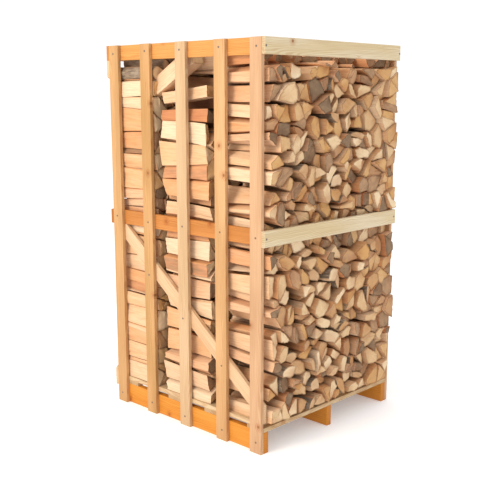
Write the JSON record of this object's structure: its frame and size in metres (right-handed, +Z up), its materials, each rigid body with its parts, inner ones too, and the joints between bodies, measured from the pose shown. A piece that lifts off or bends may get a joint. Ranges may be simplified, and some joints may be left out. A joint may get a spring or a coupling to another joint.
{
  "type": "firewood pallet crate",
  "caption": "Tall slatted pallet crate, open at the front, filled with rows of split firewood stacked end on.",
  "frame": {"origin": "on the ground under the middle of the crate", "axes": "+Z up, -Y out of the open face where the log ends show, +X to the right of it"},
  "size_m": [1.075, 1.1842, 2],
  "materials": {
    "slat_wood": "sawn pale softwood, matt",
    "side_rail_wood": "sawn orange softwood, satin",
    "front_rail_wood": "sawn pale softwood, matt",
    "runner_wood": "sawn orange softwood, satin",
    "deck_wood": "sawn pale softwood, matt",
    "firewood": "split and sawn hardwood, rough",
    "nail_steel": "dull nail heads"
  },
  "bodies": {
    "root": {"runner_left": "runner_wood", "runner_middle": "runner_wood", "runner_right": "runner_wood", "cross_board_1": "deck_wood", "cross_board_2": "deck_wood", "cross_board_3": "deck_wood", "cross_board_4": "deck_wood", "deck_board_1": "deck_wood", "deck_board_2": "deck_wood", "deck_board_3": "deck_wood", "deck_board_4": "deck_wood", "deck_board_5": "deck_wood", "deck_board_6": "deck_wood", "deck_board_7": "deck_wood", "left_slat_1": "slat_wood", "left_slat_2": "slat_wood", "left_slat_3": "slat_wood", "left_slat_4": "slat_wood", "left_slat_5": "slat_wood", "left_top_rail": "side_rail_wood", "left_middle_rail": "side_rail_wood", "left_brace": "slat_wood", "right_slat_1": "slat_wood", "right_slat_2": "slat_wood", "right_slat_3": "slat_wood", "right_slat_4": "slat_wood", "right_slat_5": "slat_wood", "right_top_rail": "side_rail_wood", "right_middle_rail": "side_rail_wood", "right_brace": "slat_wood", "front_top_rail": "front_rail_wood", "front_middle_rail": "front_rail_wood", "back_top_rail": "side_rail_wood", "back_middle_rail": "side_rail_wood", "back_lower_brace": "slat_wood", "back_upper_brace": "slat_wood", "log_row_front": "firewood", "log_row_middle": "firewood", "log_row_back": "firewood"}
  },
  "joints": []
}
